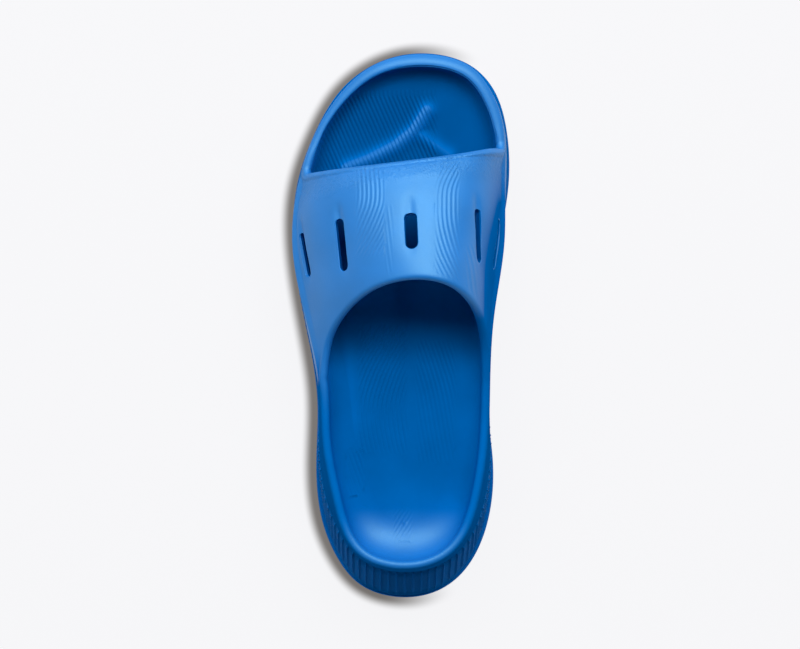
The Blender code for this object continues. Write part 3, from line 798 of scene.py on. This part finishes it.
def bed_shade_and_dullness(y):
    """Painted shade and dullness of the footbed: whole at the toe, gone at the back of the heel cup."""
    front = HEEL_BED_WEIGHT + (1 - HEEL_BED_WEIGHT) * grown(y, *FULL_BED)
    return front * grown(y, *HEEL_CUP)


def plain_wall(y, dullness):
    """Painted shade and dullness of the rim and wall behind the strap."""
    return dullness * grown(y, *SHADED_WALL)


def flank(medial, y):
    """Painted shade and dullness of the shoe's flanks below the strap."""
    return np.where(medial, *FLANK_SHADE_AND_DULLNESS) * grown(y, *FLANK)


def flank_lining(medial, y):
    """Painted shade and dullness inside the flanks, on the medial side only."""
    return np.where(medial, 1.0, 0.0) * flank(medial, y) * grown(y, *LINING)


def strap_shade_and_dullness(turns, y, flanks, dullness):
    """Painted shade and dullness of the strap, from its flanks at the roots to none on top."""
    medial = turns > 90
    away = np.where(medial, 180 - turns, turns)
    reach = np.where(medial, *FLANK_TURNS)
    return np.maximum(
        flanks(medial, y) * smooth((reach - away) / FLANK_GROWTH),
        plain_wall(y, dullness) * smooth(1 - away / max(FLANK_TURNS)))


def upper_form():
    """Strap, rim and footbed as one hollow moulding, with its soft relief."""
    turns = upper_turns()
    count = len(turns)
    outer, inner = rim_edges(turns)
    foot = upper_foot(turns, outer)
    skin = Skin("line_phase", "line_weight", "basin", "front_grain")

    # Outer wall, from the seam up to the rim
    medial = turns > 180
    toe = TOE_SHADE_AND_DULLNESS * toe_share(outer[:, 1])
    # Painted shade on the outer wall: darker behind the strap, on the flanks and round the toe
    outer_shade_and_dullness = np.maximum(plain_wall(outer[:, 1], OUTER_SHADE_AND_DULLNESS), flank(medial, outer[:, 1])) + toe
    walls = [skin.add(foot, basin=outer_shade_and_dullness)]
    for share in inner_shares(WALL_STEPS):
        walls.append(skin.add(foot + (outer - foot) * share, basin=outer_shade_and_dullness))
    walls.append(skin.add(outer, basin=outer_shade_and_dullness))
    skin.tube(walls)
    skin.ladder(walls[0])

    # Inner wall, a cove from the rim down to the footbed
    out = outward(crest_loop, turns)
    width = section(COVE, inner[:, 1])[:, None] * COVE_WIDTH
    edge_plan = inner[:, :2] - out * width
    support = np.where(medial, section(ARCH, edge_plan[:, 1]) * ARCH_SUPPORT, 0)
    floor = footbed_height(edge_plan[:, 1]) + support
    # Painted shade on the inner wall, painted lighter toward the back of the heel
    lit = plain_wall(outer[:, 1], WALL_SHADE_AND_DULLNESS) * (
        HEEL_BACK_SHARE + (1 - HEEL_BACK_SHARE) * grown(outer[:, 1], *HEEL_BACK))
    lit = np.maximum(lit, flank_lining(medial, outer[:, 1])) + toe
    coves = [skin.add(inner, basin=lit)]
    for angle in quarter(COVE_STEPS)[1:]:
        plan = inner[:, :2] + (edge_plan - inner[:, :2]) * (1 - np.cos(angle))
        point = raised(plan, inner[:, 2] + (floor - inner[:, 2]) * np.sin(angle))
        level = smooth(angle / (np.pi / 2) * COVE_GROWTH)
        phase, weight = line_field(point[:, 0], point[:, 1], BED_LINES)
        mixed = lit * (1 - level) + level * bed_shade_and_dullness(point[:, 1])
        coves.append(skin.add(
            point, basin=np.maximum(mixed, COVE_SHADE_AND_DULLNESS * level),
            line_phase=phase, line_weight=weight * level * BED_LINE_SHARE))
    skin.tube(coves)

    # Footbed
    bed_edge = raised(edge_plan, floor)
    shares = inner_shares(BED_COLUMNS)
    half = count // 2
    left = bed_edge[1:half, None]
    right = bed_edge[:-half:-1, None]
    bed = left + (right - left) * shares[None, :, None]
    x, y = bed[..., 0], bed[..., 1]
    ends = window(y, edge_plan[:, 1].min(), edge_plan[:, 1].max(), DISH_END)
    ridge = ridge_field(x, y)
    bed[..., 2] += ridge - BED_DISH * ends * (4 * shares * (1 - shares)) ** 2
    phase, weight = line_field(x, y, BED_LINES)
    # Painted shade on the footbed, with painted highlights on the ridges and along the lateral streak
    streak = np.exp(-((x - STREAK_PLACE - STREAK_LEAN * y) / STREAK_WIDTH) ** 2)
    dark = bed_shade_and_dullness(y) * (1 - RIDGE_LIGHT * smooth(ridge / RIDGE_FULL))
    dark = dark * (1 - STREAK_LIGHT * streak * window(y, *STREAK_SPAN))
    weight = weight * BED_LINE_SHARE
    skin.ladder(coves[-1], skin.add(bed, line_phase=phase, line_weight=weight, basin=dark))

    # Strap
    rows = strap_skin(outer)
    normals = strap_normals(rows, outer, inner)
    under = rows - normals * WALL
    frames = [slot_frame(rows, normals, slot) for slot in SLOTS]
    depth = slot_troughs(rows, frames)
    phase, weight = line_field(rows[..., 0], rows[..., 1], STRAP_LINES)
    weight = weight * (normals[..., 2] > LINE_LEVEL)
    share = STATION_SHARES
    weight = weight * smooth(share / COLLAR_LINE_FADE) * smooth((1 - share) / FRONT_LINE_FADE)
    depth += BEAD_GROOVE * np.exp(-((share - BEAD_PLACE) / BEAD_WIDTH) ** 2)
    shown = rows - normals * depth[..., None]
    grain = np.broadcast_to(grown(share, *GRAIN), depth.shape)
    # Painted shade on the strap's flanks, outside and on the lining
    side = strap_shade_and_dullness(ARCH_TURNS, rows[..., 1], flank, OUTER_SHADE_AND_DULLNESS)
    lining = strap_shade_and_dullness(ARCH_TURNS, rows[..., 1], flank_lining, WALL_SHADE_AND_DULLNESS)
    first, last = STATIONS[[0, -1]]
    tables = []
    for grid, edge, values in (
        (shown, walls[-1], {
            "line_phase": phase[:, 1:-1], "line_weight": weight[:, 1:-1], "front_grain": grain[:, 1:-1],
            "basin": side[:, 1:-1]}),
        (under, coves[0], {"basin": lining[:, 1:-1]}),
    ):
        numbers = np.empty(grid.shape[:2], int)
        numbers[:, 1:-1] = skin.add(grid[:, 1:-1], **values)
        numbers[:, 0] = edge[STATIONS]
        numbers[:, -1] = edge[-STATIONS]
        skin.grid(numbers)
        tables.append(numbers)
    top, below = tables

    # Rounded edges: rim, collar and front
    bulges = {0: edge_bulge(rows, normals, 0), -1: edge_bulge(rows, normals, -1)}
    rises = np.tile((0.0, 0.0, 1.0), (count, 1))
    rises[:, :2] -= out * (TOE_LEAN * toe_share(outer[:, 1]))[:, None]
    for step, station in ((0, first), (-1, last)):
        for column, corner in ((0, station), (-1, count - station)):
            lean = bulges[step][column].copy()
            rises += near(outer, outer[corner]) * lean
            bulges[step] += near(rows[step], outer[corner]) * np.array((0, 0, 1))
    rises = unit(rises)
    levels = inner_shares(ROLL_STEPS)[:, None]
    groove = np.exp(-((levels - TOE_GROOVE_PLACE) / TOE_GROOVE_WIDTH) ** 2)
    groove = TOE_GROOVE * window(turns, *TOE_GROOVE_SPAN) * groove
    # Painted shade across the rim's crown, from the outer wall's to the inner wall's
    crown = skin.add(
        roll(outer, inner, rises) - rises * groove[..., None],
        basin=outer_shade_and_dullness + (lit - outer_shade_and_dullness) * smooth(levels * ROLL_GROWTH))
    tiers = [walls[-1]] + list(crown) + [coves[0]]
    open_cells = [i for i in range(count) if not (first <= i < last or count - last <= i < count - first)]
    for low, high in zip(tiers[:-1], tiers[1:]):
        for i in open_cells:
            j = (i + 1) % count
            skin.face(low[i], low[j], high[j], high[i])
    for step, station in ((0, first), (-1, last)):
        edge = roll(rows[step], under[step], unit(bulges[step]))
        tiers = [top[step]]
        for level, inward, points in zip(crown, levels[:, 0], edge):
            numbers = np.empty(len(points), int)
            # Painted shade across the rounded collar and front edges
            basin = side[step] + (lining[step] - side[step]) * smooth(inward * ROLL_GROWTH)
            numbers[1:-1] = skin.add(points[1:-1], basin=basin[1:-1])
            numbers[0] = level[station]
            numbers[-1] = level[count - station]
            tiers.append(numbers)
        tiers.append(below[step])
        skin.grid(np.array(tiers))
    return skin, frames


def feed(tree, node, inputs):
    """Give a node's inputs values or the outputs of other nodes."""
    for key, value in inputs.items():
        if isinstance(value, bpy.types.NodeSocket):
            tree.links.new(value, node.inputs[key])
        else:
            node.inputs[key].default_value = value


def add_node(tree, kind, settings=None, inputs=None):
    """Add a node, set its properties and feed its inputs."""
    node = tree.nodes.new(kind)
    for key, value in (settings or {}).items():
        setattr(node, key, value)
    feed(tree, node, inputs or {})
    return node


def calculate(tree, operation, *values):
    """Output of a math node on values or other outputs."""
    return add_node(tree, 'ShaderNodeMath', {"operation": operation}, dict(enumerate(values))).outputs[0]


def wave(tree, phase):
    """Output that swings between 1 and -1 once for each whole step of the phase."""
    return calculate(tree, 'COSINE', calculate(tree, 'MULTIPLY', phase, 2 * np.pi))


def ribs_tree(material):
    """Geometry Nodes that push the wall in along its normal between the ribs, by Depth in metres.

    The attribute rib_phase counts ribs, and rib_weight says how strong they are.
    """
    tree = bpy.data.node_groups.new("ribbed_wall", 'GeometryNodeTree')
    tree.interface.new_socket("Geometry", in_out='INPUT', socket_type='NodeSocketGeometry')
    depth = tree.interface.new_socket("Depth", in_out='INPUT', socket_type='NodeSocketFloat')
    tree.interface.new_socket("Geometry", in_out='OUTPUT', socket_type='NodeSocketGeometry')
    start = add_node(tree, 'NodeGroupInput')
    end = add_node(tree, 'NodeGroupOutput')
    kind = 'GeometryNodeInputNamedAttribute'
    phase, weight = (
        add_node(tree, kind, {"data_type": 'FLOAT'}, {"Name": key}).outputs[0]
        for key in ("rib_phase", "rib_weight"))
    lifted = calculate(tree, 'MULTIPLY_ADD', wave(tree, phase), 0.5, 0.5)
    line = calculate(tree, 'POWER', lifted, RIB_SHARPNESS)
    strong = calculate(tree, 'MULTIPLY', line, weight)
    deep = calculate(tree, 'MULTIPLY', strong, start.outputs["Depth"])
    push = add_node(tree, 'ShaderNodeVectorMath', {"operation": 'SCALE'}, {
        0: add_node(tree, 'GeometryNodeInputNormal').outputs[0],
        "Scale": calculate(tree, 'MULTIPLY', deep, -1.0)})
    moved = add_node(tree, 'GeometryNodeSetPosition', {}, {
        "Geometry": start.outputs["Geometry"], "Offset": push.outputs[0]})
    plain = add_node(tree, 'GeometryNodeRealizeInstances', {}, {"Geometry": moved.outputs[0]})
    finished = add_node(tree, 'GeometryNodeSetMaterial', {}, {
        "Geometry": plain.outputs[0], "Material": material})
    feed(tree, end, {"Geometry": finished.outputs[0]})
    return tree, depth.identifier


def apply_modifiers(item):
    """Turn an object with its modifiers into a plain mesh of its own."""
    layers = bpy.context.evaluated_depsgraph_get()
    mesh = bpy.data.meshes.new_from_object(item.evaluated_get(layers))
    mesh.name = item.name
    old = item.data
    item.modifiers.clear()
    item.data = mesh
    bpy.data.meshes.remove(old)


def dress(item, sharp_degrees, material):
    """Shade a mesh smooth between its sharp edges and leave one material on it."""
    mesh = item.data
    mesh.shade_smooth()
    mesh.set_sharp_from_angle(angle=np.radians(sharp_degrees))
    mesh.materials.clear()
    mesh.materials.append(material)
    mesh.polygons.foreach_set("material_index", np.zeros(len(mesh.polygons), np.int32))


def make_upper(material):
    """Upper with its slots."""
    skin, frames = upper_form()
    upper = skin.build("upper_moulding")
    cutters = [slot_cutter(slot, number) for number, slot in enumerate(frames)]
    for cutter in cutters:
        cut = upper.modifiers.new("slot", 'BOOLEAN')
        cut.operation = 'DIFFERENCE'
        cut.solver = 'EXACT'
        cut.object = cutter
    apply_modifiers(upper)
    for cutter in cutters:
        bpy.data.objects.remove(cutter, do_unlink=True)
    dress(upper, UPPER_SHARP, material)
    return upper


def even_turns(loop, spacing):
    """Turns from heel tip to toe tip whose points lie evenly along a loop, and their path lengths."""
    fine = np.linspace(0, 180, 1441)
    path = loop(fine)
    lengths = np.concatenate([[0], np.cumsum(np.linalg.norm(np.diff(path, axis=0), axis=1))])
    places = np.linspace(0, lengths[-1], int(lengths[-1] / spacing) + 1)
    return np.interp(places, lengths, fine), places


def make_midsole(material):
    """Lower moulding with its ribbed wall, step and toe bumper."""
    half, places = even_turns(outline_loop, RIB_PITCH / RIB_STATIONS)
    turns = whole_loop(half, half)
    place = np.concatenate([places, places[-2:0:-1]])
    outline = outline_loop(turns)
    out = outward(outline_loop, turns)
    y = outline[:, 1]
    lip = section(LIP, y)[:, None] * LIP_WIDTH
    outer, _ = rim_edges(turns)
    foot = upper_foot(turns, outer)
    ledge = section(LEDGE, foot[:, 1])[:, None]
    top_plan = foot[:, :2] + (outline - foot[:, :2]) * ledge
    low_plan = outline - out * lip
    bottom = joint_height(low_plan[:, 1]) + GAP
    top = seam_height(top_plan[:, 1]) - GAP
    end = np.where(turns > 180, *RIBS_END)
    fade = smooth((end - share_along(y)) / RIBS_FADE)
    fade = fade * (1 - FLANK_RIB_LOSS * window(share_along(y), FLANK_RIBS_START, 1.0, RIBS_FADE))
    lean = RIB_LEAN * grown(place, *RIB_LEAN_SPAN)

    skin = Skin("rib_phase", "rib_weight")
    low = raised(low_plan, bottom)
    high = raised(top_plan, top)
    rings = []
    angles = quarter(EDGE_STEPS)
    rounds = list(zip(angles, EDGE_ROUND * (1 - np.sin(angles)), EDGE_ROUND * (1 - np.cos(angles))))
    for _, inset, lift in rounds:
        rings.append((raised(low_plan - out * inset, bottom + lift), 0.0, 0.0))
    for share in inner_shares(SOLE_STEPS):
        rings.append((low + (high - low) * share, window(share, *RIB_WINDOW), share))
    for angle, drop, inset in rounds:
        points = raised(top_plan - out * inset, top - drop)
        rings.append((points, RIB_EDGE_DEPTH * (angle < RIB_EDGE_END), 1.0))
    numbers = []
    for points, weight, share in rings:
        phase = (place - lean * share) / RIB_PITCH
        numbers.append(skin.add(points, rib_phase=phase, rib_weight=fade * weight))
    skin.tube(numbers)
    skin.ladder(numbers[0])
    skin.ladder(numbers[-1])
    midsole = skin.build("midsole_moulding")
    tree, depth = ribs_tree(material)
    ribs = midsole.modifiers.new("ribs", 'NODES')
    ribs.node_group = tree
    ribs[depth] = RIB_DEPTH
    apply_modifiers(midsole)
    dress(midsole, MIDSOLE_SHARP, material)
    return midsole


def tread_loop(turns):
    """Edge of the tread, inside the outline."""
    return outline_loop(turns) - outward(outline_loop, turns) * TREAD_INSET


def groove_profile(y, low, high):
    """Depth of the tread's cross grooves at places along the foot."""
    grooves = int((high - low - LUG_PITCH) / LUG_PITCH)
    start = (low + high - (grooves - 1) * LUG_PITCH) / 2
    nearest = np.clip(np.round((y - start) / LUG_PITCH), 0, grooves - 1)
    away = np.abs(y - (start + nearest * LUG_PITCH))
    return GROOVE_DEPTH * smooth((GROOVE_WIDTH / 2 - away) / GROOVE_SLOPE)


def make_outsole(material):
    """Ground layer with its lip and lugs."""
    half, _ = even_turns(tread_loop, TREAD_SPACING)
    turns = whole_loop(half, half)
    outline = outline_loop(turns)
    out = outward(outline_loop, turns)
    lip = section(LIP, outline[:, 1])[:, None] * LIP_WIDTH
    tread = tread_loop(turns)
    top_plan = outline - out * lip * LIP_BARE
    widest = joint_height(outline[:, 1]) - LIP_DROP
    ground = base_height(tread[:, 1])
    skin = Skin()
    rings = [skin.add(raised(tread, ground))]
    for angle in quarter(TREAD_ROUND_STEPS)[1:]:
        plan = tread + (outline - tread) * np.sin(angle) ** TREAD_FULLNESS
        rings.append(skin.add(raised(plan, ground + (widest - ground) * (1 - np.cos(angle)))))
    top = joint_height(top_plan[:, 1])
    for angle in quarter(LIP_STEPS)[1:]:
        plan = top_plan + (outline - top_plan) * np.cos(angle)
        rings.append(skin.add(raised(plan, widest + (top - widest) * np.sin(angle))))
    skin.tube(rings)
    skin.ladder(rings[-1])
    middle = len(turns) // 2
    left = raised(tread, ground)[1:middle, None]
    right = raised(tread, ground)[:-middle:-1, None]
    floor = left + (right - left) * TREAD_COLUMNS[None, :, None]
    y = floor[..., 1]
    grooves = groove_profile(y, tread[:, 1].min(), tread[:, 1].max())
    floor[..., 2] = base_height(y) + grooves * window(TREAD_COLUMNS, *GROOVE_WINDOW)
    skin.ladder(rings[0], skin.add(floor))
    outsole = skin.build("outsole_layer")
    dress(outsole, OUTSOLE_SHARP, material)
    return outsole


def linear(code):
    """Turn an sRGB hex value into linear red, green and blue with full alpha."""
    parts = [int(code[i:i + 2], 16) / 255 for i in (1, 3, 5)]
    return tuple(p / 12.92 if p <= 0.04045 else ((p + 0.055) / 1.055) ** 2.4 for p in parts) + (1.0,)


def new_material(name):
    """New material with its tree and its shader."""
    material = bpy.data.materials.new(name)
    material.use_nodes = True
    return material, material.node_tree, material.node_tree.nodes["Principled BSDF"]


def foam_material(name, colour, roughness, grain, sheen):
    """Injection-moulded EVA foam: a closed skin with a fine satin grain, no fibre and no clear coat.

    The eye sees one deep colour, a broad soft sheen on what faces the light, and a faint mottle
    where the foam cooled against the mould. The basin attribute is painted shade
    and dullness: where it is 1, in the footbed, the skin is painted darker and has no sheen. The line
    attributes drive the fine wavy lines moulded into strap and footbed, and front_grain the leathery
    grain behind the front edge.
    """
    material, tree, shader = new_material(name)
    place = add_node(tree, 'ShaderNodeTexCoord').outputs["Object"]

    def value_of(attribute):
        return add_node(tree, 'ShaderNodeAttribute', {"attribute_name": attribute}).outputs["Fac"]

    def noise(scale, detail, rough, distortion=0.0):
        return add_node(tree, 'ShaderNodeTexNoise', {}, {
            "Vector": place, "Scale": scale, "Detail": detail, "Roughness": rough,
            "Distortion": distortion}).outputs[0]

    def ranged(value, low, high, at_low, at_high, kind='LINEAR'):
        return add_node(tree, 'ShaderNodeMapRange', {"interpolation_type": kind}, {
            0: value, 1: low, 2: high, 3: at_low, 4: at_high}).outputs[0]

    basin = value_of("basin")
    mottle = ranged(noise(55.0, 3.0, 0.5), 0.3, 0.7, 0.94, 1.04)
    # Painted shade: the colour darkens as basin grows, down to PAINTED_SHADE_TONE
    tone = calculate(tree, 'MULTIPLY', mottle, ranged(basin, 0.0, 1.0, 1.0, PAINTED_SHADE_TONE))
    blend = add_node(tree, 'ShaderNodeVectorMath', {"operation": 'SCALE'}, {
        0: linear(colour)[:3], "Scale": tone})
    fine = noise(1400.0, 2.0, 0.6)
    lines = calculate(tree, 'MULTIPLY', wave(tree, value_of("line_phase")), value_of("line_weight"))
    leather = calculate(tree, 'MULTIPLY', noise(520.0, 2.0, 0.55, 1.2), value_of("front_grain"))
    below = {}
    for height, strength, depth in (
        (lines, 1.0, LINE_DEPTH / 2), (leather, 1.0, LEATHER_DEPTH), (fine, grain, GRAIN_DEPTH),
    ):
        relief = add_node(tree, 'ShaderNodeBump', {}, {
            "Strength": strength, "Distance": depth, "Height": height, **below})
        below = {"Normal": relief.outputs[0]}
    feed(tree, shader, {
        "Base Color": blend.outputs[0],
        "Specular IOR Level": ranged(basin, 0.0, SHEEN_END, sheen, 0.0, 'SMOOTHSTEP'),
        "Roughness": ranged(fine, 0.3, 0.7, roughness - 0.04, roughness + 0.05),
        "IOR": FOAM_IOR,
        "Specular Tint": SHEEN_TINT,
        **below})
    return material


def floor_material():
    """Seamless pale studio floor that glows evenly; the shade attribute darkens it by the sole."""
    material, tree, shader = new_material("studio_floor")
    shade = add_node(tree, 'ShaderNodeAttribute', {"attribute_name": "shade"})
    tone = add_node(tree, 'ShaderNodeMix', {"data_type": 'RGBA'}, {
        0: shade.outputs["Fac"], 6: linear("#F8F8FA"), 7: linear("#77736F")})
    feed(tree, shader, {
        "Emission Color": tone.outputs[2],
        "Emission Strength": 0.945,
        "Base Color": linear("#3A3A3B"),
        "Roughness": 0.9,
        "Specular IOR Level": 0.0})
    return material


def make_floor():
    """Flat floor whose rings round the sole carry the soft shade at its lateral edge."""
    turns = np.linspace(0, 360, FLOOR_STEPS + 1)[:-1]
    edge = outline_loop(turns)
    out = outward(outline_loop, turns)
    side = grown(out[:, 0], *SHADE_SIDE)
    skin = Skin("shade")
    rings = []
    for distance in np.linspace(SHADE_START, SHADE_END, SHADE_STEPS + 1):
        shade = side * (1 - smooth((distance - SHADE_CORE) / (SHADE_END - SHADE_CORE)))
        rings.append(skin.add(raised(edge + out * distance, 0.0), shade=shade))
    rings.append(skin.add(raised(unit(edge) * FLOOR_REACH, 0.0)))
    skin.tube(rings)
    skin.ladder(rings[0])
    floor = skin.build("floor")
    if floor.data.polygons[0].normal.z < 0:
        floor.data.flip_normals()
    floor.data.materials.append(floor_material())
    floor.location.z = -FLOOR_DROP


def area_light(name, place, size, power):
    """Rectangular softbox that looks at the shoe."""
    data = bpy.data.lights.new(name, 'AREA')
    data.shape = 'RECTANGLE'
    data.size, data.size_y = size
    data.energy = power
    lamp = bpy.data.objects.new(name, data)
    lamp.location = place
    lamp.rotation_euler = (Vector(LIGHT_AIM) - Vector(place)).to_track_quat('-Z', 'Y').to_euler()
    bpy.context.scene.collection.objects.link(lamp)


def make_world():
    """Even pale room light."""
    world = bpy.data.worlds.new("studio")
    world.use_nodes = True
    background = world.node_tree.nodes["Background"]
    feed(world.node_tree, background, {"Color": linear("#F2F5FA"), "Strength": ROOM_LIGHT})
    bpy.context.scene.world = world


# The photograph looks straight down from between two shoes, so the lens stands to the inner side
CAMERA_HEIGHT = 2.0
CAMERA_SIDE = 0.076
AIM_HEIGHT = 0.030
CAMERA_FORWARD = 0.0009
LENS_MM = 161.7


def make_camera():
    """Camera over the shoe, toe up in the picture."""
    data = bpy.data.cameras.new("camera")
    data.lens = LENS_MM
    data.sensor_width = 36.0
    data.clip_start = 0.1
    camera = bpy.data.objects.new("camera", data)
    place = Vector((CAMERA_SIDE, CAMERA_FORWARD, CAMERA_HEIGHT))
    back = (place - Vector((0, CAMERA_FORWARD, AIM_HEIGHT))).normalized()
    right = Vector((0, 1, 0)).cross(back).normalized()
    up = back.cross(right)
    camera.matrix_world = Matrix.Translation(place) @ Matrix((right, up, back)).transposed().to_4x4()
    bpy.context.scene.collection.objects.link(camera)
    bpy.context.scene.camera = camera


make_camera()
make_floor()
make_world()
for light in LIGHTS:
    area_light(*light)
bpy.context.scene.view_settings.view_transform = 'Standard'

# Pieces: maker, node, slot and foam by its name, colour, roughness, grain and sheen
for maker, node, slot, *foam in (
    (make_upper, "upper", "upper_foam", "eva_foam_upper", "#0072CC", 0.52, 0.10, 1.0),
    (make_midsole, "midsole", "midsole_foam", "eva_foam_midsole", "#0063B0", 0.52, 0.12, 0.005),
    (make_outsole, "outsole", "outsole_foam", "eva_foam_outsole", "#0067BA", 0.54, 0.14, 0.02),
):
    piece = maker(foam_material(*foam))
    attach(piece, "root")
    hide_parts(node)
    print(piece.name, len(piece.data.polygons), "faces")
